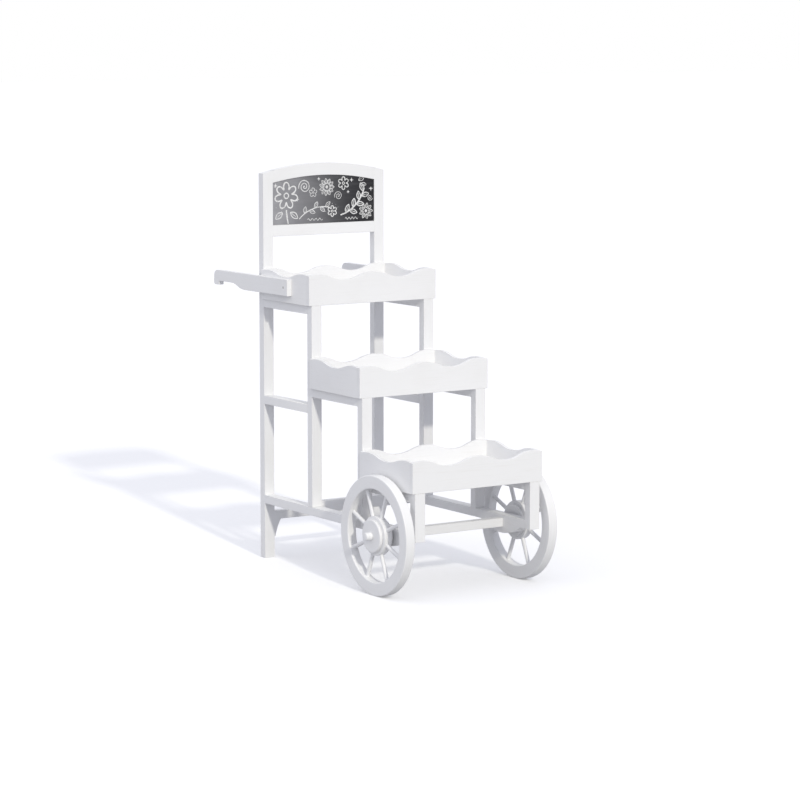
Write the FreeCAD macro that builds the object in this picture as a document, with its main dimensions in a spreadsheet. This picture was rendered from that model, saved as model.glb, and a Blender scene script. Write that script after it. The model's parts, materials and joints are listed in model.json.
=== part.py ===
import FreeCAD, Part

import math
import os
from types import SimpleNamespace

import Sketcher
from FreeCAD import Placement, Rotation, Vector

# Three-tier flower cart stand in painted wood: four rows of posts carry three stepped trays,
# the rear posts run up into an arched header with a chalkboard, and two spoked wheels turn on
# a beam axle under the bottom tray.
# Frame: X to the right seen from the front, the front faces -Y, +Z up, the origin on the floor
# at the middle of the width and of the depth.

doc = FreeCAD.newDocument("FlowerCart")
sheet = doc.addObject("Spreadsheet::Sheet", "Sizes")

# alias, millimetres, what it measures
driving_sizes = (
    ("overall_height", 1300, "floor to the crown of the header"),
    ("frame_width", 468, "across the outer faces of the posts"),
    ("post_width", 37, "posts and rails, across the cart"),
    ("post_depth", 28, "posts front to back, and the height of the side rails"),
    ("rear_face", 323, "front face of the rear posts, ahead of the origin when negative"),
    ("tier_depth", 299, "from one row of posts to the next"),
    ("top_tier", 862, "underside of the top tray"),
    ("middle_tier", 597, "underside of the middle tray"),
    ("bottom_tier", 335, "underside of the bottom tray"),
    ("middle_rail_level", 515, "underside of the rail halfway down the rear bay"),
    ("low_rail_level", 184, "underside of the long lower side rails"),
    ("arch_rise", 29, "rise of the header's outer curve over the frame width"),
    ("arch_band", 40, "height of the arched rail at the crown"),
    ("inner_rise", 21, "rise of the header's inner curve between the posts"),
    ("header_rail_level", 1064, "underside of the rail below the chalkboard"),
    ("panel_thickness", 6, "chalkboard panel"),
    ("panel_recess", 4, "chalkboard face behind the face of its frame"),
    ("groove_depth", 6, "groove that holds the chalkboard"),
    ("groove_play", 0.5, "room between the panel's edge and the groove's floor"),
    ("apron_level", 127, "underside of the rear apron between its brackets"),
    ("bracket_drop", 57, "how far the apron's ends reach down the posts"),
    ("bracket_width", 25, "width of the apron's end bracket at the top"),
    ("bracket_tip", 4, "width of the bracket's lower tip"),
    ("bracket_curve", 167, "radius of the bracket's hollow edge"),
    ("cross_rail_level", 192, "underside of the cross rail between the second posts"),
    ("tray_overhang", 9, "tray sides beyond the posts"),
    ("board_thickness", 12, "tray boards"),
    ("board_height", 96, "tray boards at their corners"),
    ("crest_rise", 4, "crests above the corners"),
    ("end_crest", 38, "front and back boards: corner to the first crest"),
    ("dip_reach", 108, "front and back boards: middle to the dips"),
    ("dip_drop", 17, "front and back boards: dips below the corners"),
    ("side_crest_rise", 3, "side boards: crests above the ends"),
    ("side_crest", 33, "side boards: end to the first crest"),
    ("side_dip_drop", 14, "side boards: dip below the ends"),
    ("floor_thickness", 6, "tray floors"),
    ("handle_thickness", 18, "handle boards"),
    ("handle_front", 192, "handle's front end ahead of the rear posts"),
    ("handle_reach", 279, "handle's tip behind the front face of the rear posts"),
    ("handle_level", 886, "underside of the handle board"),
    ("handle_height", 54, "handle board"),
    ("grip_start", 80, "where the underside starts to rise, behind the same face"),
    ("grip_rise", 18, "how far the underside rises to the grip"),
    ("grip_sweep", 88, "length of that rise"),
    ("grip_length", 34, "hooked end behind the narrow grip"),
    ("hook_drop", 13, "depth of the hook below the grip"),
    ("tip_round", 22, "rounding of the tip's upper corner"),
    ("hook_round", 8, "rounding of the tip's lower corner"),
    ("wheel_radius", 188, "over the rim, and the height of the axle"),
    ("axle_setback", 737, "axle ahead of the rear posts' front faces"),
    ("axle_radius", 8, "round ends of the axle beam"),
    ("beam_side", 28, "square middle of the axle beam"),
    ("bearer_reach", 108, "half the length of the rails' belly under the axle"),
    ("bearer_drop", 31, "depth of that belly"),
    ("rim_height", 42, "rim, in the wheel's own plane"),
    ("rim_width", 32, "rim, along the axle"),
    ("wheel_face", 252, "inner face of the rim from the middle of the cart"),
    ("rim_edge", 2, "broken edges of the rim and hub"),
    ("spoke_radius", 6.5, "round spokes"),
    ("spoke_seat", 10, "spoke ends inside the rim and hub"),
    ("hub_radius", 62, "hub core"),
    ("hub_width", 26, "hub core, along the axle"),
    ("hub_cap_radius", 52, "round caps on both faces of the hub"),
    ("hub_cap_width", 11, "hub caps, along the axle"),
    ("washer_radius", 18, "spacer between the side rail and the hub"),
    ("end_cap_radius", 12.5, "cap on each end of the axle"),
    ("end_cap_width", 21, "cap on each end of the axle"),
    ("axle_seat", 12, "axle end inside its cap"),
    ("end_play", 0.5, "free play beside each hub"),
    ("running_fit", 0.05, "radial room of a turning bore"),
    ("snug_fit", 0.1, "radial room of a fixed bore"),
    ("screw_radius", 2, "wood screw shank"),
    ("screw_head", 4, "wood screw head radius"),
    ("screw_head_height", 2.5, "countersunk head"),
    ("screw_length", 28, "wood screw"),
    ("screw_setback", 20, "front tray screws behind the tray's front face"),
    ("screw_inset", 30, "rear tray screws ahead of the posts behind the tray"),
    ("handle_screw", 24, "handle screws in from the handle's front end"),
    ("dowel_radius", 4, "frame dowels"),
    ("dowel_length", 36, "frame dowels"),
    ("dowel_spread", 9, "half the distance between a joint's two dowels"),
)

for row, (alias, value, meaning) in enumerate(driving_sizes, start=1):
    sheet.set(f"A{row}", meaning)
    sheet.set(f"B{row}", str(value))
    sheet.setAlias(f"B{row}", alias)
doc.recompute()


class Size:
    # A length in millimetres together with the sheet formula that gives it.
    def __init__(self, value, text):
        self.value = value
        self.text = text

    def __add__(self, other):
        other = as_size(other)
        return Size(self.value + other.value, f"({self.text} + {other.text})")

    def __radd__(self, other):
        return as_size(other) + self

    def __sub__(self, other):
        other = as_size(other)
        return Size(self.value - other.value, f"({self.text} - {other.text})")

    def __rsub__(self, other):
        return as_size(other) - self

    def __mul__(self, other):
        other = as_size(other)
        return Size(self.value * other.value, f"({self.text} * {other.text})")

    def __rmul__(self, other):
        return as_size(other) * self

    def __truediv__(self, other):
        other = as_size(other)
        return Size(self.value / other.value, f"({self.text} / {other.text})")

    def __neg__(self):
        return as_size(0) - self

    def squared(self):
        return self * self

    def root(self):
        return Size(math.sqrt(self.value), f"sqrt({self.text})")


def as_size(thing):
    return thing if isinstance(thing, Size) else Size(float(thing), str(thing))


def arc_radius(half_chord, rise):
    return (half_chord.squared() + rise.squared()) / (2 * rise)


def drop_of(radius, across):
    # How far a circle has fallen from its crown at a distance across.
    return radius - (radius.squared() - across.squared()).root()


cart = SimpleNamespace(**{alias: Size(float(value), f"Sizes.{alias}") for alias, value, _ in driving_sizes})

outer_x = cart.frame_width / 2
inner_x = outer_x - cart.post_width
rail_x = outer_x - cart.post_width / 2
tray_x = outer_x + cart.tray_overhang
floor_x = tray_x - cart.board_thickness
rear_back = cart.rear_face + cart.post_depth
low_rail_top = cart.low_rail_level + cart.post_depth
axle_y = cart.rear_face - cart.axle_setback
outer_radius = arc_radius(outer_x, cart.arch_rise)
inner_radius = arc_radius(inner_x, cart.inner_rise)
handle_front_end = cart.rear_face - cart.handle_front
handle_face = tray_x + cart.handle_thickness

sides = (("left", -1), ("right", 1))
tiers = (("top", cart.top_tier), ("middle", cart.middle_tier), ("bottom", cart.bottom_tier))

along_x = Rotation(Vector(0, 1, 0), 90)
along_minus_x = Rotation(Vector(0, 1, 0), -90)
along_y = Rotation(Vector(1, 0, 0), -90)
upright = Rotation()
downward = Rotation(Vector(1, 0, 0), 180)

nodes = []


def post_row(row):
    # Front face of a row of posts: 0 at the rear, 3 at the front.
    return cart.rear_face - row * cart.tier_depth


def low_x(side, inner, outer):
    # Smaller X of a piece that spans inner to outer on one side of the cart.
    return inner if side > 0 else -outer


def bind(thing, **sizes):
    for name, size in sizes.items():
        size = as_size(size)
        setattr(thing, name, size.value)
        thing.setExpression(name, size.text)
    return thing


def place(thing, x, y, z, rotation=upright):
    spot = [as_size(size) for size in (x, y, z)]
    thing.Placement = Placement(Vector(*[size.value for size in spot]), rotation)
    for axis, size in zip("xyz", spot):
        thing.setExpression(f".Placement.Base.{axis}", size.text)
    return thing


def keep(thing, label):
    # The finished piece: its label names its node and its file.
    thing.Label = label
    nodes.append(thing)
    return thing


def block(x, y, z, length, width, height):
    solid = bind(doc.addObject("Part::Box", "Block"), Length=length, Width=width, Height=height)
    return place(solid, x, y, z)


def rod(x, y, z, radius, length, rotation):
    solid = bind(doc.addObject("Part::Cylinder", "Rod"), Radius=radius, Height=length)
    return place(solid, x, y, z, rotation)


def cut(base, tool):
    result = doc.addObject("Part::Cut", "Shaped")
    result.Base = base
    result.Tool = tool
    return result


def common(base, tool):
    result = doc.addObject("Part::Common", "Shaped")
    result.Base = base
    result.Tool = tool
    return result


def fuse(first, second):
    result = doc.addObject("Part::Fuse", "Joined")
    result.Base = first
    result.Tool = second
    result.Refine = True
    return result


def group(parts):
    result = doc.addObject("Part::Compound", "Group")
    result.Links = parts
    return result


def origin_feature(body, role):
    return next(part for part in body.Origin.OriginFeatures if part.Role == role)


def new_sketch(body, plane):
    sketch = body.newObject("Sketcher::SketchObject", "Outline")
    sketch.AttachmentSupport = [(origin_feature(body, plane), "")]
    sketch.MapMode = "FlatFace"
    return sketch


def arc_between(start, end, radius, turn):
    # Circular arc of less than half a turn; turn is 1 anticlockwise and -1 clockwise.
    chord = end - start
    rise = math.sqrt(radius**2 - (chord.Length / 2) ** 2)
    across = Vector(-chord.y, chord.x, 0).normalize()
    centre = (start + end) / 2 + across * (rise * turn)
    first, last = (start, end) if turn > 0 else (end, start)
    angles = [math.atan2(point.y - centre.y, point.x - centre.x) for point in (first, last)]
    if angles[1] < angles[0]:
        angles[1] += 2 * math.pi
    return Part.ArcOfCircle(Part.Circle(centre, Vector(0, 0, 1), radius), *angles)


def draw_outline(sketch, path):
    # path holds corners as (across, up) or, where an arc leaves for the next corner,
    # (across, up, radius, turn). Every corner and radius is bound to the sheet.
    corners = [(as_size(corner[0]), as_size(corner[1])) for corner in path]
    arcs = [corner[2:] for corner in path]
    points = [Vector(across.value, up.value, 0) for across, up in corners]
    ends = []
    for index, arc in enumerate(arcs):
        start, end = points[index], points[(index + 1) % len(points)]
        if arc:
            sketch.addGeometry(arc_between(start, end, arc[0].value, arc[1]), False)
        else:
            sketch.addGeometry(Part.LineSegment(start, end), False)
        ends.append((2, 1) if arc and arc[1] < 0 else (1, 2))
    rules = []
    names = []
    for index, (across, up) in enumerate(corners):
        following = (index + 1) % len(corners)
        first, last = ends[index]
        rules.append(Sketcher.Constraint("Coincident", index, last, following, ends[following][0]))
        names.append(None)
        rules.append(Sketcher.Constraint("DistanceX", -1, 1, index, first, across.value))
        names.append((f"across{index}", across))
        rules.append(Sketcher.Constraint("DistanceY", -1, 1, index, first, up.value))
        names.append((f"up{index}", up))
        if arcs[index]:
            rules.append(Sketcher.Constraint("Radius", index, arcs[index][0].value))
            names.append((f"radius{index}", arcs[index][0]))
    sketch.addConstraint(rules)
    for index, named in enumerate(names):
        if named:
            sketch.renameConstraint(index, named[0])
            sketch.setExpression(f"Constraints.{named[0]}", named[1].text)


def board(plane, path, thickness, x, y, z):
    # Flat board: an outline on XZ grows towards -Y, one on YZ towards +X.
    body = doc.addObject("PartDesign::Body", "Board")
    sketch = new_sketch(body, plane)
    draw_outline(sketch, path)
    pad = body.newObject("PartDesign::Pad", "Thickness")
    pad.Profile = sketch
    bind(pad, Length=thickness)
    return place(body, x, y, z)


def turned(path, x, y, z, rotation=upright):
    # Round piece about its own X axis; path runs along X and out from the axis.
    body = doc.addObject("PartDesign::Body", "Turned")
    sketch = new_sketch(body, "XY_Plane")
    draw_outline(sketch, path)
    spin = body.newObject("PartDesign::Revolution", "Spin")
    spin.Profile = sketch
    spin.ReferenceAxis = (origin_feature(body, "X_Axis"), [""])
    spin.Angle = 360
    return place(body, x, y, z, rotation)


def ring_path(bore, radius, width, edge):
    # Section of a ring with broken outer edges.
    return (
        (0, bore),
        (width, bore),
        (width, radius - edge),
        (width - edge, radius),
        (edge, radius),
        (0, radius - edge),
    )


# --- dowels and screws: each place gives the piece and the hole it sits in ---

dowels = []
dowel_bores = []
screws = {"tray_screws": [], "handle_screws": []}
screw_bores = []


def dowel(x, y, z, rotation):
    # Centred on the joint, so it starts half its length back along its own axis.
    back = rotation.multVec(Vector(0, 0, -1))
    spot = [as_size(size) + step * cart.dowel_length / 2 for size, step in zip((x, y, z), map(round, back))]
    dowels.append(rod(*spot, cart.dowel_radius, cart.dowel_length, rotation))
    dowel_bores.append(rod(*spot, cart.dowel_radius + cart.snug_fit, cart.dowel_length, rotation))


def dowel_pair(x, y, z, rotation, spread):
    # Two dowels side by side; spread names the axis along which they stand apart.
    for step in (-1, 1):
        shift = step * cart.dowel_spread
        shifted = {"x": (x + shift, y, z), "y": (x, y + shift, z), "z": (x, y, z + shift)}
        dowel(*shifted[spread], rotation)


def screw_shape(x, y, z, rotation, play):
    # Countersunk screw whose head is flush at the given point and whose shank runs along +Z turned.
    head = bind(
        doc.addObject("Part::Cone", "Head"),
        Radius1=cart.screw_head + play,
        Radius2=cart.screw_radius + play,
        Height=cart.screw_head_height,
    )
    place(head, x, y, z, rotation)
    return fuse(head, rod(x, y, z, cart.screw_radius + play, cart.screw_length, rotation))


def screw(family, x, y, z, rotation):
    screws[family].append(screw_shape(x, y, z, rotation, as_size(0)))
    screw_bores.append(screw_shape(x, y, z, rotation, cart.snug_fit))


half_rail = cart.post_depth / 2
header_middle = cart.header_rail_level + cart.post_width / 2
arch_joint = cart.overall_height - cart.inner_rise - cart.arch_band + cart.dowel_spread * 2
apron_middle = cart.apron_level + half_rail
cross_joint = cart.cross_rail_level + cart.post_width - cart.dowel_spread
header_plane = rear_back - cart.dowel_spread
handle_middle = cart.handle_level + cart.handle_height / 2

for _, side in sides:
    # side rails between the rows of posts, dowelled into them front and back
    for row, level in (
        (0, cart.top_tier - cart.post_depth),
        (0, cart.middle_rail_level),
        (1, cart.middle_tier - cart.post_depth),
        (2, cart.bottom_tier - cart.post_depth),
    ):
        for joint in (post_row(row), post_row(row + 1) + cart.post_depth):
            dowel_pair(side * rail_x, joint, level + half_rail, along_y, "x")
    for joint in (post_row(0), post_row(3) + cart.post_depth):
        dowel_pair(side * rail_x, joint, cart.low_rail_level + half_rail, along_y, "x")
    # second and third posts stand on the long lower rail
    for row in (1, 2):
        dowel_pair(side * rail_x, post_row(row) + half_rail, low_rail_top, upright, "x")
    # cross members between the posts
    dowel_pair(side * inner_x, header_plane, header_middle, along_x, "z")
    dowel_pair(side * inner_x, header_plane, arch_joint, along_x, "z")
    dowel_pair(side * inner_x, cart.rear_face + half_rail, apron_middle, along_x, "y")
    dowel(side * inner_x, post_row(1) + half_rail, cross_joint, along_x)
    # tray floors are screwed down into the posts in front and the rails behind
    for row, (_, level) in enumerate(tiers):
        for spot in (post_row(row + 1) + cart.screw_setback, post_row(row) - cart.screw_inset):
            screw("tray_screws", side * rail_x, spot, level + cart.floor_thickness, downward)
    # each handle has one screw from outside and one from inside the tray
    inward, outward = (along_minus_x, along_x) if side > 0 else (along_x, along_minus_x)
    outside_spot = handle_front_end + cart.handle_screw
    screw("handle_screws", side * handle_face, outside_spot, handle_middle, inward)
    inside_spot = cart.rear_face - cart.board_thickness - cart.handle_screw
    screw("handle_screws", side * floor_x, inside_spot, handle_middle, outward)

frame_bores = group(dowel_bores + screw_bores)
axle_bore = rod(
    -handle_face,
    axle_y,
    cart.wheel_radius,
    cart.axle_radius + cart.snug_fit,
    2 * handle_face,
    along_x,
)

# --- header: chalkboard in a groove all round ---


def panel_body(reach):
    # Chalkboard outline taken past the opening by reach on every side.
    half = inner_x + reach
    radius = inner_radius + reach
    centre = cart.overall_height - cart.arch_band - inner_radius
    bottom = cart.header_rail_level + cart.post_width - reach
    top = centre + (radius.squared() - half.squared()).root()
    path = ((-half, bottom), (half, bottom), (half, top, radius, 1), (-half, top))
    back = cart.rear_face + cart.panel_recess + cart.panel_thickness
    return board("XZ_Plane", path, cart.panel_thickness, 0, back, 0)


panel_groove = panel_body(cart.groove_depth)
keep(panel_body(cart.groove_depth - cart.groove_play), "chalkboard_panel")

arch_end = cart.overall_height - drop_of(outer_radius, inner_x)
arch_foot = cart.overall_height - cart.arch_band - cart.inner_rise
arch_path = (
    (-inner_x, arch_foot, inner_radius, -1),
    (inner_x, arch_foot),
    (inner_x, arch_end, outer_radius, 1),
    (-inner_x, arch_end),
)
arch = board("XZ_Plane", arch_path, cart.post_depth, 0, rear_back, 0)
keep(cut(cut(arch, panel_groove), frame_bores), "header_arch_rail")


def cross_board(front, level):
    # Straight rail between the left and right posts of one row.
    return block(-inner_x, front, level, 2 * inner_x, cart.post_depth, cart.post_width)


header_rail = cross_board(cart.rear_face, cart.header_rail_level)
keep(cut(cut(header_rail, panel_groove), frame_bores), "header_lower_rail")

# --- posts: four rows, left and right ---

arch_drum = rod(
    0,
    cart.rear_face,
    cart.overall_height - outer_radius,
    outer_radius,
    cart.post_depth,
    along_y,
)


def post(side, row, foot, head):
    return block(
        low_x(side, inner_x, outer_x),
        post_row(row),
        foot,
        cart.post_width,
        cart.post_depth,
        head - foot,
    )


for name, side in sides:
    rear = common(post(side, 0, as_size(0), cart.overall_height), arch_drum)
    keep(cut(cut(rear, panel_groove), frame_bores), f"rear_post_{name}")
    keep(cut(post(side, 1, low_rail_top, cart.top_tier), frame_bores), f"second_post_{name}")
    keep(cut(post(side, 2, low_rail_top, cart.middle_tier), frame_bores), f"third_post_{name}")
    keep(cut(post(side, 3, cart.low_rail_level, cart.bottom_tier), frame_bores), f"front_post_{name}")

# --- side rails ---


def side_rail(side, row, level):
    # Runs from the front face of one row of posts to the back of the next.
    front = post_row(row + 1) + cart.post_depth
    return block(
        low_x(side, inner_x, outer_x),
        front,
        level,
        cart.post_width,
        post_row(row) - front,
        cart.post_depth,
    )


bearer_radius = arc_radius(cart.bearer_reach, cart.bearer_drop)
low_rail_front = post_row(3) + cart.post_depth
low_rail_path = (
    (low_rail_front, cart.low_rail_level),
    (axle_y - cart.bearer_reach, cart.low_rail_level, bearer_radius, 1),
    (axle_y + cart.bearer_reach, cart.low_rail_level),
    (cart.rear_face, cart.low_rail_level),
    (cart.rear_face, low_rail_top),
    (low_rail_front, low_rail_top),
)

for name, side in sides:
    for label, row, level in (
        ("top_side_rail", 0, cart.top_tier - cart.post_depth),
        ("rear_bay_rail", 0, cart.middle_rail_level),
        ("middle_side_rail", 1, cart.middle_tier - cart.post_depth),
        ("bottom_side_rail", 2, cart.bottom_tier - cart.post_depth),
    ):
        keep(cut(side_rail(side, row, level), frame_bores), f"{label}_{name}")
    rail = board("YZ_Plane", low_rail_path, cart.post_width, low_x(side, inner_x, outer_x), 0, 0)
    keep(cut(cut(rail, frame_bores), axle_bore), f"lower_side_rail_{name}")

# --- cross members ---

apron_top = cart.apron_level + cart.post_depth
apron_foot = cart.apron_level - cart.bracket_drop
bracket_in = inner_x - cart.bracket_width
tip_in = inner_x - cart.bracket_tip
apron_path = (
    (-inner_x, apron_foot),
    (-tip_in, apron_foot, cart.bracket_curve, -1),
    (-bracket_in, cart.apron_level),
    (bracket_in, cart.apron_level, cart.bracket_curve, -1),
    (tip_in, apron_foot),
    (inner_x, apron_foot),
    (inner_x, apron_top),
    (-inner_x, apron_top),
)
apron = board("XZ_Plane", apron_path, cart.post_depth, 0, rear_back, 0)
keep(cut(apron, frame_bores), "rear_apron")

cross_rail = cross_board(post_row(1), cart.cross_rail_level)
keep(cut(cross_rail, frame_bores), "lower_cross_rail")

hub_start = cart.wheel_face + cart.rim_width / 2 - cart.hub_width / 2
hub_end = hub_start + cart.hub_width
hub_outer_face = hub_end + cart.hub_cap_width
hub_inner_face = hub_start - cart.hub_cap_width
end_cap_start = hub_outer_face + cart.end_play
axle_end = end_cap_start + cart.axle_seat

half_beam = cart.beam_side / 2
beam = block(
    -inner_x,
    axle_y - half_beam,
    cart.wheel_radius - half_beam,
    2 * inner_x,
    cart.beam_side,
    cart.beam_side,
)
axle_rod = rod(-axle_end, axle_y, cart.wheel_radius, cart.axle_radius, 2 * axle_end, along_x)
keep(fuse(beam, axle_rod), "axle_beam")

# --- trays ---


def wave(points):
    # Corners of a scalloped top edge, right to left. Points are (across, up) with a level
    # tangent at each, apart from the first and last; two equal arcs join each pair inside.
    path = []
    for index in range(len(points) - 1):
        (across, up), (next_across, next_up) = points[index], points[index + 1]
        run = across - next_across
        rise = next_up - up
        rising = rise.value > 0
        if rise.value < 0:
            rise = -rise
        if index in (0, len(points) - 2):
            path.append((across, up, arc_radius(run, rise), 1))
        else:
            radius = (run.squared() + rise.squared()) / (4 * rise)
            first_turn = -1 if rising else 1
            path.append((across, up, radius, first_turn))
            path.append(((across + next_across) / 2, (up + next_up) / 2, radius, -first_turn))
    path.append(points[-1])
    return path


crest = cart.board_height + cart.crest_rise
dip = cart.board_height - cart.dip_drop
crest_x = tray_x - cart.end_crest
front_wave = wave(
    (
        (tray_x, cart.board_height),
        (crest_x, crest),
        (cart.dip_reach, dip),
        (as_size(0), crest),
        (-cart.dip_reach, dip),
        (-crest_x, crest),
        (-tray_x, cart.board_height),
    )
)
front_path = [(-tray_x, 0), (tray_x, 0)] + front_wave

side_length = cart.tier_depth - 2 * cart.board_thickness
side_crest = cart.board_height + cart.side_crest_rise
side_dip = cart.board_height - cart.side_dip_drop
side_wave = wave(
    (
        (side_length, cart.board_height),
        (side_length - cart.side_crest, side_crest),
        (side_length / 2, side_dip),
        (cart.side_crest, side_crest),
        (as_size(0), cart.board_height),
    )
)
side_path = [(0, 0), (side_length, 0)] + side_wave

for row, (tier, level) in enumerate(tiers):
    tray_front = post_row(row + 1)
    tray_back = post_row(row)
    inside_front = tray_front + cart.board_thickness
    front_board = board("XZ_Plane", front_path, cart.board_thickness, 0, inside_front, level)
    keep(front_board, f"{tier}_tray_front")
    back_board = board("XZ_Plane", front_path, cart.board_thickness, 0, tray_back, level)
    keep(back_board, f"{tier}_tray_back")
    for name, side in sides:
        side_x = low_x(side, floor_x, tray_x)
        side_board = board("YZ_Plane", side_path, cart.board_thickness, side_x, inside_front, level)
        drilled = cut(side_board, frame_bores) if tier == "top" else side_board
        keep(drilled, f"{tier}_tray_side_{name}")
    tray_floor = block(-floor_x, inside_front, level, 2 * floor_x, side_length, cart.floor_thickness)
    keep(cut(tray_floor, frame_bores), f"{tier}_tray_floor")

# --- handles ---

handle_top = cart.handle_level + cart.handle_height
grip_level = cart.handle_level + cart.grip_rise
grip_y = cart.rear_face + cart.grip_start
grip_end = grip_y + cart.grip_sweep
tip_y = cart.rear_face + cart.handle_reach
hook_y = tip_y - cart.grip_length
hook_level = grip_level - cart.hook_drop
sweep_radius = (cart.grip_sweep.squared() + cart.grip_rise.squared()) / (4 * cart.grip_rise)
handle_path = (
    (handle_front_end, cart.handle_level),
    (grip_y, cart.handle_level, sweep_radius, 1),
    (grip_y + cart.grip_sweep / 2, cart.handle_level + cart.grip_rise / 2, sweep_radius, -1),
    (grip_end, grip_level),
    (hook_y, grip_level),
    (hook_y, hook_level),
    (tip_y - cart.hook_round, hook_level, cart.hook_round, 1),
    (tip_y, hook_level + cart.hook_round),
    (tip_y, handle_top - cart.tip_round, cart.tip_round, 1),
    (tip_y - cart.tip_round, handle_top),
    (handle_front_end, handle_top),
)
for name, side in sides:
    handle_x = low_x(side, tray_x, handle_face)
    handle = board("YZ_Plane", handle_path, cart.handle_thickness, handle_x, 0, 0)
    keep(cut(handle, frame_bores), f"handle_{name}")

# --- wheels: eight round spokes between rim and hub, the first half a step off level ---

spoke_count = 8
half_step = 180 / spoke_count
rim_bore = cart.wheel_radius - cart.rim_height
spoke_foot = cart.hub_radius - cart.spoke_seat
spoke_reach = rim_bore + cart.spoke_seat - spoke_foot
spoke_x = cart.rim_width / 2
turning_bore = cart.axle_radius + cart.running_fit


def around_axle(body, feature):
    pattern = body.newObject("PartDesign::PolarPattern", "Round")
    pattern.Originals = [feature]
    pattern.Axis = (origin_feature(body, "X_Axis"), [""])
    pattern.Angle = 360
    pattern.Occurrences = spoke_count
    body.Tip = pattern
    return body


def radial_rod(body, kind, radius, length, centre_x, start):
    solid = bind(body.newObject(kind, "Radial"), Radius=radius, Height=length)
    return place(solid, centre_x, 0, start)


for name, side in sides:
    # the wheel's own X runs outwards, away from the cart
    outwards = upright if side > 0 else Rotation(Vector(0, 0, 1), 180)
    stance = outwards.multiply(Rotation(Vector(1, 0, 0), half_step))
    centre = (axle_y, cart.wheel_radius)
    socket = cart.spoke_radius + cart.snug_fit

    rim_path = ring_path(rim_bore, cart.wheel_radius, cart.rim_width, cart.rim_edge)
    rim = turned(rim_path, side * cart.wheel_face, *centre, stance)
    kind = "PartDesign::SubtractiveCylinder"
    seat_start = rim_bore - cart.spoke_seat
    seat = radial_rod(rim, kind, socket, 2 * cart.spoke_seat, spoke_x, seat_start)
    keep(around_axle(rim, seat), f"wheel_rim_{name}")

    spokes = doc.addObject("PartDesign::Body", "Spokes")
    kind = "PartDesign::AdditiveCylinder"
    spoke = radial_rod(spokes, kind, cart.spoke_radius, spoke_reach, spoke_x, spoke_foot)
    place(around_axle(spokes, spoke), side * cart.wheel_face, *centre, stance)
    keep(spokes, f"wheel_spokes_{name}")

    hub_path = ring_path(turning_bore, cart.hub_radius, cart.hub_width, cart.rim_edge)
    hub = turned(hub_path, side * hub_start, *centre, stance)
    kind = "PartDesign::SubtractiveCylinder"
    hub_spoke_x = cart.wheel_face + spoke_x - hub_start
    seat = radial_rod(hub, kind, socket, 2 * cart.spoke_seat, hub_spoke_x, spoke_foot)
    keep(around_axle(hub, seat), f"wheel_hub_{name}")

    cap_path = ring_path(turning_bore, cart.hub_cap_radius, cart.hub_cap_width, cart.rim_edge)
    keep(turned(cap_path, side * hub_end, *centre, outwards), f"hub_outer_cap_{name}")
    keep(turned(cap_path, side * hub_inner_face, *centre, outwards), f"hub_inner_cap_{name}")

    washer_width = hub_inner_face - outer_x - cart.end_play
    fixed_bore = cart.axle_radius + cart.snug_fit
    washer_path = ring_path(fixed_bore, cart.washer_radius, washer_width, cart.end_play)
    keep(turned(washer_path, side * outer_x, *centre, outwards), f"axle_spacer_{name}")

    end_path = (
        (0, fixed_bore),
        (cart.axle_seat, fixed_bore),
        (cart.axle_seat, 0),
        (cart.end_cap_width, 0),
        (cart.end_cap_width, cart.end_cap_radius - cart.rim_edge),
        (cart.end_cap_width - cart.rim_edge, cart.end_cap_radius),
        (0, cart.end_cap_radius),
    )
    keep(turned(end_path, side * end_cap_start, *centre, outwards), f"axle_end_cap_{name}")

# --- fasteners ---

keep(group(dowels), "frame_dowels")
for family, members in screws.items():
    keep(group(members), family)

doc.recompute()

failed = [part.Label for part in doc.Objects if {"Invalid", "Error"} & set(part.State)]
if failed:
    raise RuntimeError(f"not rebuilt: {failed}")

os.makedirs("parts", exist_ok=True)
for node in nodes:
    if node.Shape.isNull() or not node.Shape.isValid():
        raise RuntimeError(f"bad shape: {node.Label}")
    node.Shape.exportStep(f"parts/{node.Label}.step")
    print(f"{node.Label}: {len(node.Shape.Solids)} solids, {node.Shape.Volume / 1000:.1f} cm3")
print(f"{len(nodes)} nodes")
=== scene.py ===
# Three-tier cart stand of white painted wood: scalloped trays, a chalkboard header, two spoked wheels.
import json
import math
import random

import bmesh
import bpy
from mathutils import Matrix, Vector

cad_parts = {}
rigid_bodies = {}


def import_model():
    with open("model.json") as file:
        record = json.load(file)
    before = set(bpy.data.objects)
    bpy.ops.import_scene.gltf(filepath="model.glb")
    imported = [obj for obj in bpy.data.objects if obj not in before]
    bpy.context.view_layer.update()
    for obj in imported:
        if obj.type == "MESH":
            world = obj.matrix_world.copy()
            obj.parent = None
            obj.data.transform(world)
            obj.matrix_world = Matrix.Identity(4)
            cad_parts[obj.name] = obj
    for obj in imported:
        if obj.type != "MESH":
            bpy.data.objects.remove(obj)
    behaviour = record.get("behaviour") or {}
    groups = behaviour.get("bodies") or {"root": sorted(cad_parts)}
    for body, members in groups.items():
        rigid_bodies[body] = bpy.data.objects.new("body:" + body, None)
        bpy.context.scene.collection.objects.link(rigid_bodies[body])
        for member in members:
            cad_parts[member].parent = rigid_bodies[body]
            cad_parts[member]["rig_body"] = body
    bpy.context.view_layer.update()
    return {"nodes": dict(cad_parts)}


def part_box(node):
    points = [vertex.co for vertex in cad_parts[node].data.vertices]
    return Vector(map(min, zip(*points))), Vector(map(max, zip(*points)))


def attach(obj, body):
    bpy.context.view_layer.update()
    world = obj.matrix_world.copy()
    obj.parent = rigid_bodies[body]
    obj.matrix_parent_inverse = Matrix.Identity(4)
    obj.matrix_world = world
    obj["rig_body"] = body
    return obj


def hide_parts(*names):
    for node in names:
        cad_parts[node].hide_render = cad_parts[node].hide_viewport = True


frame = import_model()
print("frame loaded with", len(frame["nodes"]), "nodes")


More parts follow.
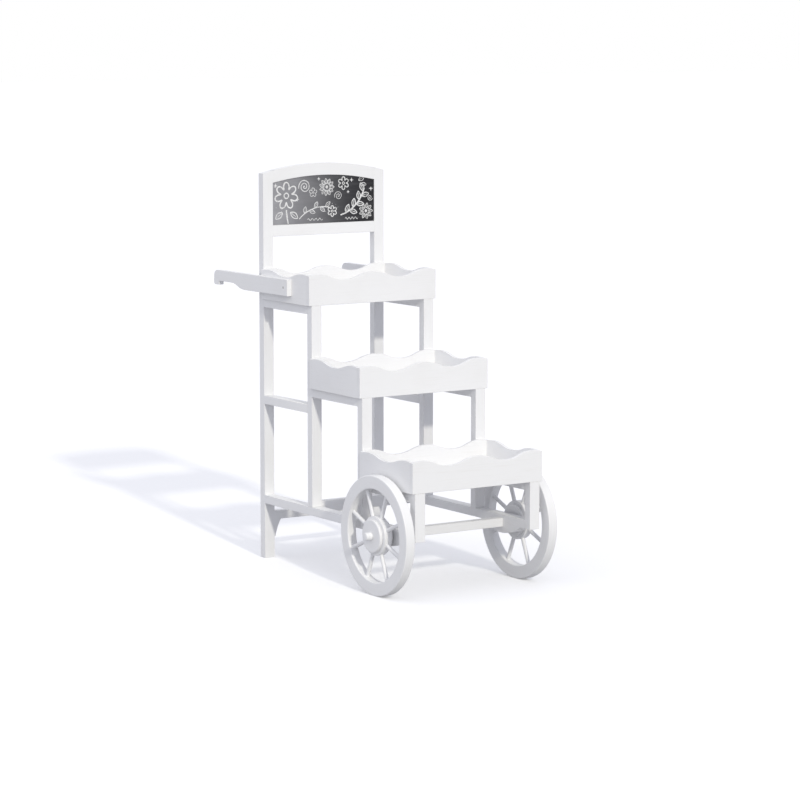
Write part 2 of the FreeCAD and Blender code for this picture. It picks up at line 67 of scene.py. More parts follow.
# Shader maths: a Signal is one output of a node, and arithmetic on it adds Math nodes.
class Signal:
    def __init__(self, recipe, socket):
        self.recipe = recipe
        self.socket = socket

    def join(self, operation, first, second):
        return self.recipe.add("ShaderNodeMath", {"operation": operation}, {0: first, 1: second})

    def __add__(self, other):
        return self.join("ADD", self, other)

    def __radd__(self, other):
        return self.join("ADD", other, self)

    def __sub__(self, other):
        return self.join("SUBTRACT", self, other)

    def __rsub__(self, other):
        return self.join("SUBTRACT", other, self)

    def __mul__(self, other):
        return self.join("MULTIPLY", self, other)

    def __rmul__(self, other):
        return self.join("MULTIPLY", other, self)

    def larger(self, other):
        return self.join("MAXIMUM", self, other)

    def rise(self, low, high):
        # 0 below low, 1 above high and smooth between them
        settings = {"interpolation_type": "SMOOTHSTEP"}
        return self.recipe.add("ShaderNodeMapRange", settings, {0: self, 1: low, 2: high})


class Recipe:
    # the nodes of one material or of the world
    def __init__(self, owner):
        owner.use_nodes = True
        self.owner = owner
        self.tree = owner.node_tree
        self.tree.nodes.clear()

    def add(self, kind, settings, sockets, output=0):
        node = self.tree.nodes.new(kind)
        for name, value in settings.items():
            setattr(node, name, value)
        for name, value in sockets.items():
            if isinstance(value, Signal):
                self.tree.links.new(value.socket, node.inputs[name])
            else:
                node.inputs[name].default_value = value
        return Signal(self, node.outputs[output]) if node.outputs else None

    def place(self):
        return self.add("ShaderNodeTexCoord", {}, {}, "Object")

    def parts(self, vector):
        split = {"Vector": vector}
        return [self.add("ShaderNodeSeparateXYZ", {}, split, letter) for letter in "XYZ"]

    def vector(self, x, y, z):
        return self.add("ShaderNodeCombineXYZ", {}, {"X": x, "Y": y, "Z": z})

    def stretched(self, vector, size, turn=(0, 0, 0)):
        # one pattern unit is as long as size says along each axis
        scale = [1 / length for length in size]
        return self.add("ShaderNodeMapping", {}, {"Vector": vector, "Rotation": turn, "Scale": scale})

    def noise(self, vector, detail=2.0, rough=0.5):
        sockets = {"Vector": vector, "Scale": 1.0, "Detail": detail, "Roughness": rough}
        return self.add("ShaderNodeTexNoise", {}, sockets)

    def between(self, share, first, second):
        sockets = {0: share, 6: first, 7: second}
        return self.add("ShaderNodeMix", {"data_type": "RGBA"}, sockets, 2)

    def relief(self, height):
        # height is in metres
        return self.add("ShaderNodeBump", {}, {"Strength": 1.0, "Distance": 1.0, "Height": height})

    def finished(self, sockets):
        shader = self.add("ShaderNodeBsdfPrincipled", {}, sockets)
        self.add("ShaderNodeOutputMaterial", {}, {"Surface": shader})
        return self.owner


paint = {
    "white": (0.865, 0.865, 0.87, 1),
    "thin": (0.74, 0.72, 0.69, 1),        # where the coat is rubbed thin
    "roughness": 0.36,
    "dullness": 0.14,                     # added where the brush dragged
    "grainSize": (0.0045, 0.12),          # width and length of the grain under the paint
    "grainShows": (0.52, 0.78),           # from where to where in the noise it thins the coat
    "grainThin": 0.20,                    # and by how much
    "grainRelief": 0.00022,
    "brushSize": (0.0011, 0.06),
    "brushRelief": 0.00007,
    "rubSize": 0.006,
    "rubShows": (0.44, 0.62),
    "rubThin": 0.5,
    "cloudSize": 0.15,
    "cloudShows": (0.45, 0.8),
    "cloudThin": 0.14,
    "wheelRadius": 0.16,                  # where the grain of the wheels has its true length
}
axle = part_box("axle_beam")
axleY = (axle[0].y + axle[1].y) / 2
axleZ = (axle[0].z + axle[1].z) / 2


def fibres(recipe, run, width, length):
    # a place in pattern units, drawn out along the grain: along an axis, round a wheel or along spokes
    place = recipe.place()
    if run in "XYZ":
        return recipe.stretched(place, [length if run == letter else width for letter in "XYZ"])
    x, y, z = recipe.parts(place)
    spoke = recipe.vector(0.0, y - axleY, z - axleZ)
    away = recipe.add("ShaderNodeVectorMath", {"operation": "LENGTH"}, {0: spoke}, "Value")
    heading = recipe.add("ShaderNodeVectorMath", {"operation": "NORMALIZE"}, {0: spoke})
    turnY, turnZ = recipe.parts(heading)[1:]
    along, across = (width, length) if run == "round" else (length, width)
    circle = paint["wheelRadius"] / across
    return recipe.vector(away * (1 / along) + x * (1 / width), turnY * circle, turnZ * circle)


def paintedWood(name, run):
    recipe = Recipe(bpy.data.materials.new(name))
    grain = recipe.noise(fibres(recipe, run, *paint["grainSize"]), 3.0, 0.6)
    brush = recipe.noise(fibres(recipe, run, *paint["brushSize"]), 2.0)
    place = recipe.place()
    cloud = recipe.noise(recipe.stretched(place, [paint["cloudSize"]] * 3), 2.0)
    rub = recipe.noise(recipe.stretched(place, [paint["rubSize"]] * 3), 3.0, 0.65)
    edge = recipe.add("ShaderNodeAttribute", {"attribute_name": "edgeWear"}, {}, "Fac")
    grainy = grain.rise(*paint["grainShows"]) * paint["grainThin"]
    cloudy = cloud.rise(*paint["cloudShows"]) * paint["cloudThin"]
    rubbed = edge * rub.rise(*paint["rubShows"]) * paint["rubThin"]
    thin = grainy + cloudy + rubbed
    return recipe.finished({
        "Base Color": recipe.between(thin, paint["white"], paint["thin"]),
        "Roughness": paint["roughness"] + brush * paint["dullness"],
        "Normal": recipe.relief(grain * paint["grainRelief"] + brush * paint["brushRelief"]),
    })


slate = {
    "dark": (0.021, 0.021, 0.024, 1),
    "dustAndGlare": (0.60, 0.60, 0.63, 1),
    "left": -0.30,                        # where the painted glare is full, and where it ends
    "right": 0.17,
    "paintedGlare": 0.62,                         # how much painted glare, pale like chalk dust, lies at the left side
    "paintedGlareBase": 0.7,
    "paintedGlareClouds": 0.6,
    "cloudSize": 0.07,
    "wipeSize": (0.16, 0.03, 0.012),
    "wipeTurn": math.radians(24),
    "wipeShows": (0.42, 0.8),
    "wipeDust": 0.05,
    "speckSize": 0.0012,
    "speckDust": 0.02,
    "speckRelief": 0.00005,
    "roughness": 0.62,
    "dullness": 0.3,                      # added where the dust and painted glare are thick
    "sheen": 0.12,
}


def chalkboardPaint():
    recipe = Recipe(bpy.data.materials.new("chalkboardPaint"))
    place = recipe.place()
    across = recipe.parts(place)[0]
    # painted reflection: the board grows paler towards its left as glare would make it, in cloudy patches;
    # the wipes and specks added after it are real chalk dust
    paintedGlareSide = 1 - across.rise(slate["left"], slate["right"])
    wipe = recipe.noise(recipe.stretched(place, slate["wipeSize"], (0, slate["wipeTurn"], 0)), 3.0, 0.6)
    cloud = recipe.noise(recipe.stretched(place, [slate["cloudSize"]] * 3), 2.0)
    speck = recipe.noise(recipe.stretched(place, [slate["speckSize"]] * 3), 2.0)
    paintedGlare = paintedGlareSide * slate["paintedGlare"] * (slate["paintedGlareBase"] + cloud * slate["paintedGlareClouds"])
    dustAndGlare = paintedGlare + wipe.rise(*slate["wipeShows"]) * slate["wipeDust"] + speck * slate["speckDust"]
    return recipe.finished({
        "Base Color": recipe.between(dustAndGlare, slate["dark"], slate["dustAndGlare"]),
        "Roughness": slate["roughness"] + dustAndGlare * slate["dullness"],
        "Specular IOR Level": slate["sheen"],
        "Normal": recipe.relief(speck * slate["speckRelief"]),
    })


chalk = {
    "full": (0.90, 0.90, 0.88, 1),
    "faint": (0.78, 0.78, 0.79, 1),
    "toothSize": 0.0009,
    "toothRelief": 0.0001,
    "dragSize": 0.009,
    "coverShows": (0.55, 0.74),
    "leastCover": 0.22,
    "roughness": 0.95,
}


def chalkStick():
    # chalk catches on the board's tooth, so its cover is broken into grains
    recipe = Recipe(bpy.data.materials.new("chalkStick"))
    place = recipe.place()
    tooth = recipe.noise(recipe.stretched(place, [chalk["toothSize"]] * 3), 3.0, 0.7)
    drag = recipe.noise(recipe.stretched(place, [chalk["dragSize"]] * 3), 2.0)
    cover = (tooth + drag * 0.5).rise(*chalk["coverShows"])
    return recipe.finished({
        "Base Color": recipe.between(drag, chalk["full"], chalk["faint"]),
        "Roughness": chalk["roughness"],
        "Alpha": chalk["leastCover"] + cover * (1 - chalk["leastCover"]),
        "Normal": recipe.relief(tooth * chalk["toothRelief"]),
    })


metal = {
    "bright": (0.52, 0.52, 0.54, 1),
    "stained": (0.34, 0.33, 0.32, 1),
    "stainSize": 0.002,
    "scratchSize": (0.0003, 0.003, 0.0006),
    "scratchRelief": 0.00001,
    "roughness": 0.30,
    "dullness": 0.22,
}


def screwSteel():
    recipe = Recipe(bpy.data.materials.new("screwSteel"))
    place = recipe.place()
    stain = recipe.noise(recipe.stretched(place, [metal["stainSize"]] * 3), 3.0)
    scratch = recipe.noise(recipe.stretched(place, metal["scratchSize"]), 2.0)
    return recipe.finished({
        "Base Color": recipe.between(stain, metal["bright"], metal["stained"]),
        "Metallic": 1.0,
        "Roughness": metal["roughness"] + scratch * metal["dullness"],
        "Normal": recipe.relief(scratch * metal["scratchRelief"]),
    })


beech = {
    "pale": (0.66, 0.49, 0.31, 1),
    "dark": (0.48, 0.33, 0.19, 1),
    "ringSize": (0.0016, 0.03),
    "fleckSize": (0.0005, 0.004),
    "fleckRelief": 0.00006,
    "roughness": 0.55,
    "dullness": 0.2,
}


def bareWood():
    recipe = Recipe(bpy.data.materials.new("bareWood"))
    ring = recipe.noise(fibres(recipe, "Y", *beech["ringSize"]), 3.0, 0.6)
    fleck = recipe.noise(fibres(recipe, "Y", *beech["fleckSize"]), 2.0)
    return recipe.finished({
        "Base Color": recipe.between(ring, beech["pale"], beech["dark"]),
        "Roughness": beech["roughness"] + fleck * beech["dullness"],
        "Normal": recipe.relief(fleck * beech["fleckRelief"]),
    })


runs = ("X", "Y", "Z", "round", "radial")
paints = {run: paintedWood("paintedWood" + run.capitalize(), run) for run in runs}
steel = screwSteel()
print("materials made:", len(bpy.data.materials))


def asObject(form, name, material):
    mesh = bpy.data.meshes.new(name)
    form.to_mesh(mesh)
    form.free()
    mesh.shade_smooth()
    mesh.materials.append(material)
    made = bpy.data.objects.new(name, mesh)
    bpy.context.scene.collection.objects.link(made)
    return made


def keepPiece(form, node, material):
    # a finished bmesh becomes the piece that stands for this node and moves with its body
    piece = asObject(form, node + "_finished", material)
    piece.modifiers.new("evenedNormals", "WEIGHTED_NORMAL")
    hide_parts(node)
    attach(piece, frame["nodes"][node]["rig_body"])


def touching(edges):
    # the edges in groups that touch one another
    waiting = set(edges)
    groups = []
    while waiting:
        group = [waiting.pop()]
        for edge in group:
            for vertex in edge.verts:
                found = waiting.intersection(vertex.link_edges)
                waiting -= found
                group.extend(found)
        groups.append(group)
    return groups


def spread(edges):
    points = [vertex.co for edge in edges for vertex in edge.verts]
    return max(max(point[i] for point in points) - min(point[i] for point in points) for i in range(3))


board = {
    "frameEdge": 0.0013,                  # how far the sanded corners are rounded
    "trayEdge": 0.0013,
    "handleEdge": 0.0014,
    "floorEdge": 0.0006,
    "edgeSteps": 3,
    "sharpAngle": math.radians(35),
    "flatAngle": math.radians(0.3),       # faces this near to level become one
    "largestBore": 0.018,                 # the rims of bores stay square
    "nearly": 0.00001,                    # points this near are the same point
}


def liesIn(edge, axis, planes):
    slack = board["nearly"] * 2
    return any(all(abs(v.co[axis] - plane) < slack for v in edge.verts) for plane in planes)


def nodeForm(node):
    form = bmesh.new()
    form.from_mesh(frame["nodes"][node].data)
    bmesh.ops.remove_doubles(form, verts=form.verts, dist=board["nearly"])
    return form


def roundedBoard(node, run, edge, squareEnds=False):
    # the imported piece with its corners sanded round; ends that butt on a post stay square
    form = nodeForm(node)
    worn = form.faces.layers.float.new("edgeWear")
    bmesh.ops.dissolve_limit(form, angle_limit=board["flatAngle"], verts=form.verts, edges=form.edges)
    sharp = [e for e in form.edges if e.calc_face_angle(0) > board["sharpAngle"]]
    outer = [e for group in touching(sharp) if spread(group) > board["largestBore"] for e in group]
    if squareEnds:
        axis = "XYZ".index(run)
        ends = [corner[axis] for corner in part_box(node)]
        outer = [e for e in outer if not liesIn(e, axis, ends)]
    made = bmesh.ops.bevel(
        form, geom=outer, offset=edge, offset_type="OFFSET", segments=board["edgeSteps"],
        profile=0.5, affect="EDGES", clamp_overlap=True, material=-1,
    )
    for face in made["faces"]:
        face[worn] = 1.0
    keepPiece(form, node, paints[run])


tiers = ("top", "middle", "bottom")
sides = {"left": -1, "right": 1}

for side in sides:
    for row in ("rear", "second", "third", "front"):
        roundedBoard(f"{row}_post_{side}", "Z", board["frameEdge"])
    for level in ("top_side", "rear_bay", "middle_side", "bottom_side", "lower_side"):
        roundedBoard(f"{level}_rail_{side}", "Y", board["frameEdge"], True)
    roundedBoard(f"handle_{side}", "Y", board["handleEdge"])
for node in ("header_arch_rail", "header_lower_rail", "rear_apron", "lower_cross_rail"):
    roundedBoard(node, "X", board["frameEdge"], True)
roundedBoard("axle_beam", "X", board["frameEdge"])
print("frame pieces rounded")

for tier in tiers:
    for end in ("front", "back"):
        roundedBoard(f"{tier}_tray_{end}", "X", board["trayEdge"])
    for side in sides:
        roundedBoard(f"{tier}_tray_side_{side}", "Y", board["trayEdge"], True)
    roundedBoard(f"{tier}_tray_floor", "X", board["floorEdge"])
print("trays rounded")


wheel = {
    "rimInside": 0.146,
    "rimCorner": 0.0035,
    "rimSteps": 160,                      # flats round a full turn
    "discSteps": 96,
    "bore": 0.00805,
    "hubCorner": 0.0022,
    "capCorner": 0.0035,
    "spacerCorner": 0.001,
    "spacerSteps": 48,
    "nubCorner": 0.0048,
    "nubRearCorner": 0.0006,
    "nubSteps": 48,
    "spokes": 8,
    "firstSpoke": math.radians(22.5),
    "spokeRadius": 0.0065,
    "spokeStart": 0.050,
    "spokeEnd": 0.1555,
    "spokeCorner": 0.001,
    "spokeSteps": 24,
    "cornerSteps": 5,
    "nearly": 0.000005,
}
atAxle = Vector((0, axleY, axleZ))


def turned(outline, corners, steps, closed=False):
    # outline is (along X, radius) points; the corners say how far each point is rounded
    form = bmesh.new()
    points = [form.verts.new((along, 0, radius)) for along, radius in outline]
    for first, second in zip(points, points[1:]):
        form.edges.new((first, second))
    if closed:
        form.edges.new((points[-1], points[0]))
    for point, corner in zip(points, corners):
        if corner:
            bmesh.ops.bevel(
                form, geom=[point], offset=corner, offset_type="OFFSET",
                segments=wheel["cornerSteps"], profile=0.5, affect="VERTICES", material=-1,
            )
    bmesh.ops.spin(
        form, geom=form.verts[:] + form.edges[:], cent=(0, 0, 0), axis=(1, 0, 0),
        angle=math.tau, steps=steps, use_merge=True, use_duplicate=False,
    )
    bmesh.ops.remove_doubles(form, verts=form.verts, dist=wheel["nearly"])
    bmesh.ops.recalc_face_normals(form, faces=form.faces)
    return form


def keepWheelPiece(form, node, run, across=0.0):
    bmesh.ops.translate(form, verts=form.verts, vec=atAxle + Vector((across, 0, 0)))
    keepPiece(form, node, paints[run])


def disc(node, inside, corner, steps):
    # a ring between the inside radius and the node's own outside radius
    low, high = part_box(node)
    outside = (high.z - low.z) / 2
    outline = [(low.x, inside), (low.x, outside), (high.x, outside), (high.x, inside)]
    innerCorner = corner if inside > wheel["bore"] else 0
    form = turned(outline, [innerCorner, corner, corner, innerCorner], steps, True)
    keepWheelPiece(form, node, "round")


def axleNub(node, outward):
    # a domed cap that closes over the axle's end
    low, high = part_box(node)
    outside = (high.z - low.z) / 2
    inner, outer = (high.x, low.x) if outward < 0 else (low.x, high.x)
    axleEnd = axle[0].x if outward < 0 else axle[1].x
    bore = wheel["bore"]
    outline = [(outer, 0), (outer, outside), (inner, outside), (inner, bore), (axleEnd, bore), (axleEnd, 0)]
    corners = [0, wheel["nubCorner"], wheel["nubRearCorner"], 0, 0, 0]
    keepWheelPiece(turned(outline, corners, wheel["nubSteps"]), node, "round")


def spokeSet(node):
    low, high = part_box(node)
    radius = wheel["spokeRadius"]
    start, end = wheel["spokeStart"], wheel["spokeEnd"]
    outline = [(start, 0), (start, radius), (end, radius), (end, 0)]
    form = turned(outline, [0, wheel["spokeCorner"], wheel["spokeCorner"], 0], wheel["spokeSteps"])
    upright = Matrix.Rotation(-math.pi / 2, 3, "Y")
    first = Matrix.Rotation(wheel["firstSpoke"], 3, "X")
    bmesh.ops.rotate(form, verts=form.verts, cent=(0, 0, 0), matrix=first @ upright)
    more = wheel["spokes"] - 1
    bmesh.ops.spin(
        form, geom=form.verts[:] + form.edges[:] + form.faces[:], cent=(0, 0, 0), axis=(1, 0, 0),
        angle=math.tau / wheel["spokes"] * more, steps=more, use_duplicate=True,
    )
    keepWheelPiece(form, node, "radial", (low.x + high.x) / 2)


for side, outward in sides.items():
    disc(f"wheel_rim_{side}", wheel["rimInside"], wheel["rimCorner"], wheel["rimSteps"])
    disc(f"wheel_hub_{side}", wheel["bore"], wheel["hubCorner"], wheel["discSteps"])
    disc(f"hub_outer_cap_{side}", wheel["bore"], wheel["capCorner"], wheel["discSteps"])
    disc(f"hub_inner_cap_{side}", wheel["bore"], wheel["capCorner"], wheel["discSteps"])
    disc(f"axle_spacer_{side}", wheel["bore"], wheel["spacerCorner"], wheel["spacerSteps"])
    axleNub(f"axle_end_cap_{side}", outward)
    spokeSet(f"wheel_spokes_{side}")
print("wheels turned")


screw = {
    "headRadius": 0.004,
    "headDepth": 0.0025,
    "shankRadius": 0.0019,
    "rootRadius": 0.0013,
    "length": 0.028,
    "smooth": 0.006,                      # plain shank under the head
    "pitch": 0.0016,
    "pointTurns": 3,                      # the point is this many pitches long
    "pointRadius": 0.0001,
    "recessDepth": 0.0016,
    "recessReach": 0.0026,
    "recessWidth": 0.001,                 # half the width of the cross
    "recessTaper": 0.7,
    "slack": 0.0005,
}


def woodScrew():
    # countersunk screw with its head flush at the origin and its point towards -Z
    form = bmesh.new()
    bmesh.ops.create_grid(form, x_segments=5, y_segments=5, size=screw["headRadius"])
    for vertex in form.verts:
        if vertex.is_boundary:
            vertex.co = vertex.co.normalized() * screw["headRadius"]
    cross = []
    for face in form.faces:
        middle = face.calc_center_median()
        if min(abs(middle.x), abs(middle.y)) < screw["recessWidth"] and middle.length < screw["recessReach"]:
            cross.append(face)
    sunk = bmesh.ops.extrude_face_region(form, geom=cross)["geom"]
    bottom = [part for part in sunk if isinstance(part, bmesh.types.BMVert)]
    bmesh.ops.delete(form, geom=cross, context="FACES_ONLY")
    bmesh.ops.scale(form, verts=bottom, vec=(screw["recessTaper"], screw["recessTaper"], 1))
    bmesh.ops.translate(form, verts=bottom, vec=(0, 0, -screw["recessDepth"]))
    rim = [edge for edge in form.edges if edge.is_boundary]
    steps = [(screw["shankRadius"], screw["headDepth"]), (screw["shankRadius"], screw["smooth"])]
    depth = screw["smooth"]
    while depth + screw["pitch"] * screw["pointTurns"] < screw["length"]:
        depth += screw["pitch"] / 2
        steps.append((screw["rootRadius"], depth))
        depth += screw["pitch"] / 2
        steps.append((screw["shankRadius"], depth))
    steps.append((screw["pointRadius"], screw["length"]))
    radius, reached = screw["headRadius"], 0
    for nextRadius, nextDepth in steps:
        grown = bmesh.ops.extrude_edge_only(form, edges=rim)["geom"]
        ring = [part for part in grown if isinstance(part, bmesh.types.BMVert)]
        rim = [part for part in grown if isinstance(part, bmesh.types.BMEdge)]
        bmesh.ops.scale(form, verts=ring, vec=(nextRadius / radius, nextRadius / radius, 1))
        bmesh.ops.translate(form, verts=ring, vec=(0, 0, reached - nextDepth))
        radius, reached = nextRadius, nextDepth
    bmesh.ops.contextual_create(form, geom=rim)
    bmesh.ops.recalc_face_normals(form, faces=form.faces)
    return form


def solidsOf(node):
    # the box of each separate solid in a node
    form = nodeForm(node)
    boxes = []
    for group in touching(form.edges):
        points = [vertex.co for edge in group for vertex in edge.verts]
        low = Vector([min(point[i] for point in points) for i in range(3)])
        high = Vector([max(point[i] for point in points) for i in range(3)])
        boxes.append((low, high))
    form.free()
    return sorted(boxes, key=lambda corners: tuple(round(x, 4) for x in corners[0]))


def screwSet(node, headings):
    # headings gives the way from point to head for a solid's box
    whole = bmesh.new()
    single = bpy.data.meshes.new("screwShape")
    form = woodScrew()
    form.to_mesh(single)
    form.free()
    for low, high in solidsOf(node):
        heading = headings(low, high)
        middle = (low + high) / 2
        head = middle + heading * (screw["length"] / 2)
        facing = Vector((0, 0, 1)).rotation_difference(heading).to_matrix().to_4x4()
        before = len(whole.verts)
        whole.from_mesh(single)
        whole.verts.ensure_lookup_table()
        bmesh.ops.transform(whole, matrix=Matrix.Translation(head) @ facing, verts=whole.verts[before:])
    keepPiece(whole, node, steel)


def outwardOrInward(low, high):
    # the outer screws' heads lie in the handles' outer faces, and the inner ones' in the trays
    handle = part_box("handle_right")[1].x
    side = 1 if low.x > 0 else -1
    outer = max(abs(low.x), abs(high.x)) > handle - screw["slack"]
    return Vector((side if outer else -side, 0, 0))


screwSet("tray_screws", lambda low, high: Vector((0, 0, 1)))
screwSet("handle_screws", outwardOrInward)
for node, material in (("frame_dowels", bareWood()), ("chalkboard_panel", chalkboardPaint())):
    frame["nodes"][node].data.materials.clear()
    frame["nodes"][node].data.materials.append(material)
print("screws done, dowels and board painted")


drawing = {
    "face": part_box("chalkboard_panel")[0].y,
    "base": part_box("header_lower_rail")[1].z,
    "flatness": 0.045,                    # chalk lies this thin against its width
    "bold": 0.0058,
    "plain": 0.0038,
    "fine": 0.0024,
    "tremble": 0.0004,
    "pressure": (0.75, 1.2),
    "steadiness": 0.6,                    # how slowly the pressure changes
    "seed": 7,
}
motif = {
    "rosetteWaist": 0.42,                 # as a share of its size, like the other lengths here
    "rosetteFullness": 0.6,
    "rosetteMiddle": 0.2,
    "almondSteps": 16,
    "veinStops": (0.15, 0.45, 0.75),
    "veinWidth": 0.6,
    "branchSteps": 24,
    "branchLean": 0.8,
    "branchAlmond": 0.24,
    "branchWidth": 0.75,
    "scrollSteps": 18,
    "sparkleArm": 0.55,
    "waveSteps": 8,
    "wheelStart": 0.34,
    "wheelBreadth": 0.17,
    "wheelWidth": 0.7,
    "wheelMiddle": 0.1,
    "dotLength": 0.0012,                  # in metres
}
chance = random.Random(drawing["seed"])
strokes = []


def stroke(points, width, closed=False):
    strokes.append((points, width, closed))


def ringOf(count):
    return [math.tau * i / count for i in range(count)]


def polar(x, z, reach, angle):
    return (x + reach * math.cos(angle), z + reach * math.sin(angle))


def rosette(x, z, size, lobes, width):
    # round lobes drawn in one closed line about a small middle
    waist = motif["rosetteWaist"]
    line = []
    for angle in ringOf(lobes * 10):
        swell = abs(math.cos(lobes * angle / 2)) ** motif["rosetteFullness"]
        line.append(polar(x, z, size * (waist + (1 - waist) * swell), math.pi / 2 - angle))
    stroke(line, width, True)
    stroke([polar(x, z, size * motif["rosetteMiddle"], angle) for angle in ringOf(12)], width * 0.8, True)


def almond(x, z, heading, length, breadth, width):
    # a pointed outline with a short vein
    line = []
    for step in range(motif["almondSteps"]):
        share = 2 * step / motif["almondSteps"]
        along = length * (share if share <= 1 else 2 - share)
        across = breadth * math.sin(math.pi * share)
        line.append((
            x + along * math.cos(heading) - across * math.sin(heading),
            z + along * math.sin(heading) + across * math.cos(heading),
        ))
    stroke(line, width, True)
    vein = [polar(x, z, length * share, heading) for share in motif["veinStops"]]
    stroke(vein, width * motif["veinWidth"])


def branch(x, z, heading, length, bend, almonds, almondLength, width):
    # a bent line with almonds left and right in turn
    steps = motif["branchSteps"]
    apart = steps // max(almonds, 1)
    line = [(x, z)]
    for step in range(steps):
        turn = heading + bend * step / steps
        x, z = polar(x, z, length / steps, turn)
        line.append((x, z))
        if almonds and step and step % apart == 0:
            lean = motif["branchLean"] if (step // apart) % 2 else -motif["branchLean"]
            breadth = almondLength * motif["branchAlmond"]
            almond(x, z, turn + lean, almondLength, breadth, width * motif["branchWidth"])
    stroke(line, width)


def scroll(x, z, size, turns, start, width):
    steps = int(turns * motif["scrollSteps"])
    line = []
    for step in range(steps):
        line.append(polar(x, z, size * step / steps, start + math.tau * turns * step / steps))
    stroke(line, width)


def sparkle(x, z, size, width):
    for quarter in range(4):
        reach = size * (motif["sparkleArm"] if quarter % 2 else 1)
        stroke([polar(x, z, reach * end, math.pi * quarter / 4) for end in (-1, 0, 1)], width)


def wave(x, z, length, height, crests, width):
    steps = crests * motif["waveSteps"]
    line = []
    for step in range(steps + 1):
        rise = height * math.sin(math.tau * crests * step / steps)
        line.append((x + length * step / steps, z + rise))
    stroke(line, width)


def almondWheel(x, z, size, spokes, width):
    # separate narrow almonds about a filled middle
    start = motif["wheelStart"]
    for angle in ringOf(spokes):
        foot = polar(x, z, size * start, angle)
        breadth = size * motif["wheelBreadth"]
        almond(*foot, angle, size * (1 - start), breadth, width * motif["wheelWidth"])
    middle = motif["wheelMiddle"]
    stroke([polar(x, z, size * middle, angle) for angle in ringOf(8)], size * middle * 2.2, True)


def dots(x, z, radius, first, count, width):
    for angle in ringOf(count * 2)[:count]:
        spot = polar(x, z, radius, first + angle)
        stroke([spot, polar(*spot, motif["dotLength"], angle)], width)


bold, plain, fine = drawing["bold"], drawing["plain"], drawing["fine"]
# left: one large rosette on a short line
rosette(-0.143, 0.094, 0.044, 7, bold)
branch(-0.143, 0.048, -math.pi / 2 + 0.05, 0.046, 0.2, 0, 0, bold)
almond(-0.158, 0.040, math.radians(-142), 0.034, 0.009, plain)
almond(-0.128, 0.040, math.radians(-36), 0.036, 0.009, plain)
sparkle(-0.184, 0.128, 0.007, fine)
dots(-0.143, 0.094, 0.054, math.radians(96), 7, fine)
# left of the middle: a long branch under scrolls
branch(-0.094, 0.016, math.radians(44), 0.128, -1.0, 6, 0.024, plain)
scroll(-0.073, 0.122, 0.024, 2.5, 0.6, plain)
sparkle(-0.100, 0.081, 0.006, fine)
rosette(-0.040, 0.102, 0.015, 5, fine)
wave(-0.062, 0.013, 0.058, 0.0035, 4, fine)
# middle: an almond wheel and a small rosette
almondWheel(0.013, 0.118, 0.029, 11, plain)
rosette(0.034, 0.038, 0.018, 6, plain)
scroll(0.058, 0.088, 0.016, 2.2, 2.6, fine)
sparkle(-0.018, 0.146, 0.006, fine)
dots(0.034, 0.038, 0.025, math.radians(30), 6, fine)
# right: a bold branch that climbs to the corner
branch(0.066, 0.024, math.radians(14), 0.134, 1.05, 7, 0.030, bold)
rosette(0.078, 0.129, 0.021, 6, plain)
sparkle(0.110, 0.139, 0.007, fine)
sparkle(0.096, 0.100, 0.005, fine)
almondWheel(0.166, 0.034, 0.027, 9, plain)
scroll(0.182, 0.078, 0.011, 1.8, 1.4, fine)
wave(0.084, 0.012, 0.050, 0.0035, 4, fine)
sparkle(0.186, 0.108, 0.007, fine)
almond(0.137, 0.136, math.radians(28), 0.026, 0.007, fine)
almond(0.144, 0.124, math.radians(-6), 0.024, 0.006, fine)


def drawnChalk():
    # each stroke is a thin line of uneven pressure; all of them are pressed flat on the board
    curve = bpy.data.curves.new("chalkLines", "CURVE")
    curve.dimensions = "3D"
    curve.bevel_depth = 1.0
    curve.bevel_resolution = 1
    curve.use_fill_caps = True
    for points, width, closed in strokes:
        spline = curve.splines.new("NURBS")
        spline.points.add(len(points) - 1)
        pressed = 1.0
        steady = drawing["steadiness"]
        for point, (x, z) in zip(spline.points, points):
            pressed = steady * pressed + (1 - steady) * chance.uniform(*drawing["pressure"])
            x += chance.uniform(-1, 1) * drawing["tremble"]
            z += chance.uniform(-1, 1) * drawing["tremble"]
            point.co = (x, 0, drawing["base"] + z, 1)
            point.radius = width / 2 * pressed
        spline.use_cyclic_u = closed
        spline.order_u = min(3, len(points))
        spline.use_endpoint_u = not closed
        spline.resolution_u = 3
    holder = bpy.data.objects.new("chalkLines", curve)
    mesh = bpy.data.meshes.new_from_object(holder)
    form = bmesh.new()
    form.from_mesh(mesh)
    bmesh.ops.scale(form, verts=form.verts, vec=(1, drawing["flatness"], 1))
    bmesh.ops.translate(form, verts=form.verts, vec=(0, drawing["face"], 0))
    bmesh.ops.remove_doubles(form, verts=form.verts, dist=board["nearly"])
    piece = asObject(form, "chalk_drawing", chalkStick())
    bpy.data.objects.remove(holder)
    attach(piece, "cart")


drawnChalk()
print("chalkboard drawn with", len(strokes), "strokes")


studio = {
    "floorSize": 60,
    "floorTone": (0.46, 0.46, 0.47, 1),   # what the floor throws back on the cart
    "floorPatch": (0.42, 0.42, 0.43, 1),
    "floorSeen": (0.80, 0.80, 0.81, 1),   # what the camera sees, with the lift below
    "floorLift": 0.27,
    "mottleSize": 0.4,
    "skyTone": (0.86, 0.885, 1.0, 1),
    "skyLevel": 0.68,
    "keyAim": Vector((0.157, 0.874, -0.460)),
    "keyTone": (1.0, 0.97, 0.86),
    "keyStrength": 1.53,
    "keyWidth": math.radians(3),          # how soft the edges of its shadows are
    "fillAim": Vector((0.55, 0.15, -0.82)),
    "fillTone": (1.0, 0.99, 0.98),
    "fillStrength": 0.6,
    "fillWidth": math.radians(80),
}


def seenRays(recipe):
    rays = [recipe.add("ShaderNodeLightPath", {}, {}, name)
            for name in ("Is Camera Ray", "Is Glossy Ray", "Is Transmission Ray")]
    return rays[0].larger(rays[1]).larger(rays[2])


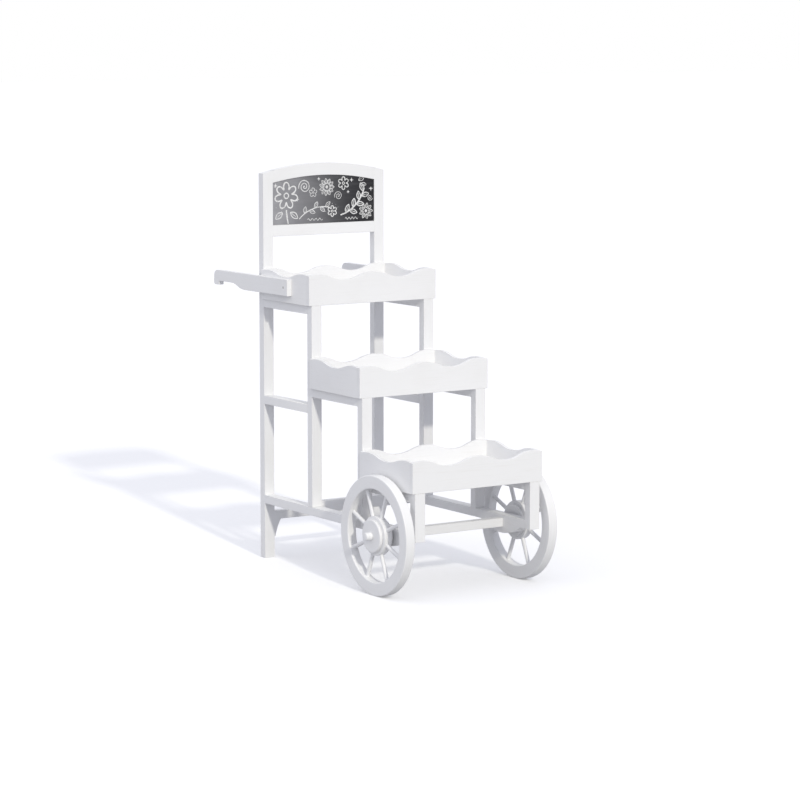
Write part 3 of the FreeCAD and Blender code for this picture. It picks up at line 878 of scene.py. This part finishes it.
def makeFloor():
    recipe = Recipe(bpy.data.materials.new("studioFloor"))
    mottle = recipe.noise(recipe.stretched(recipe.place(), [studio["mottleSize"]] * 3), 3.0)
    tone = recipe.between(mottle, studio["floorTone"], studio["floorPatch"])
    thrown = recipe.add("ShaderNodeBsdfDiffuse", {}, {"Color": tone})
    seen = recipe.add("ShaderNodeBsdfDiffuse", {}, {"Color": studio["floorSeen"]})
    lift = recipe.add("ShaderNodeEmission", {}, {"Strength": studio["floorLift"]})
    lifted = recipe.add("ShaderNodeAddShader", {}, {0: seen, 1: lift})
    chosen = recipe.add("ShaderNodeMixShader", {}, {0: seenRays(recipe), 1: thrown, 2: lifted})
    recipe.add("ShaderNodeOutputMaterial", {}, {"Surface": chosen})
    form = bmesh.new()
    bmesh.ops.create_grid(form, x_segments=1, y_segments=1, size=studio["floorSize"])
    asObject(form, "studioFloor", recipe.owner)


def makeSky():
    world = bpy.data.worlds.new("studioSky")
    bpy.context.scene.world = world
    recipe = Recipe(world)
    light = {"Color": studio["skyTone"], "Strength": studio["skyLevel"]}
    soft = recipe.add("ShaderNodeBackground", {}, light)
    white = recipe.add("ShaderNodeBackground", {}, {"Color": (1, 1, 1, 1), "Strength": 1.0})
    chosen = recipe.add("ShaderNodeMixShader", {}, {0: seenRays(recipe), 1: soft, 2: white})
    recipe.add("ShaderNodeOutputWorld", {}, {"Surface": chosen})


def makeSun(name):
    lamp = bpy.data.lights.new("studio" + name.capitalize(), "SUN")
    lamp.energy = studio[name + "Strength"]
    lamp.color = studio[name + "Tone"]
    lamp.angle = studio[name + "Width"]
    holder = bpy.data.objects.new(lamp.name, lamp)
    holder.rotation_euler = studio[name + "Aim"].to_track_quat("-Z", "Y").to_euler()
    bpy.context.scene.collection.objects.link(holder)


makeFloor()
makeSky()
makeSun("key")
makeSun("fill")

view = {
    "place": (-5.22903, -8.09674, 1.79983),
    "heading": math.radians(33.29),       # from +Y towards +X
    "down": math.radians(7.41),
    "lens": 135.05,
    "sensor": 36,
}
cameraData = bpy.data.cameras.new("photoView")
cameraData.lens = view["lens"]
cameraData.sensor_width = view["sensor"]
camera = bpy.data.objects.new("photoView", cameraData)
camera.location = view["place"]
camera.rotation_euler = (math.pi / 2 - view["down"], 0, -view["heading"])
bpy.context.scene.collection.objects.link(camera)
bpy.context.scene.camera = camera
bpy.context.scene.view_settings.view_transform = "Standard"
print("studio lit")
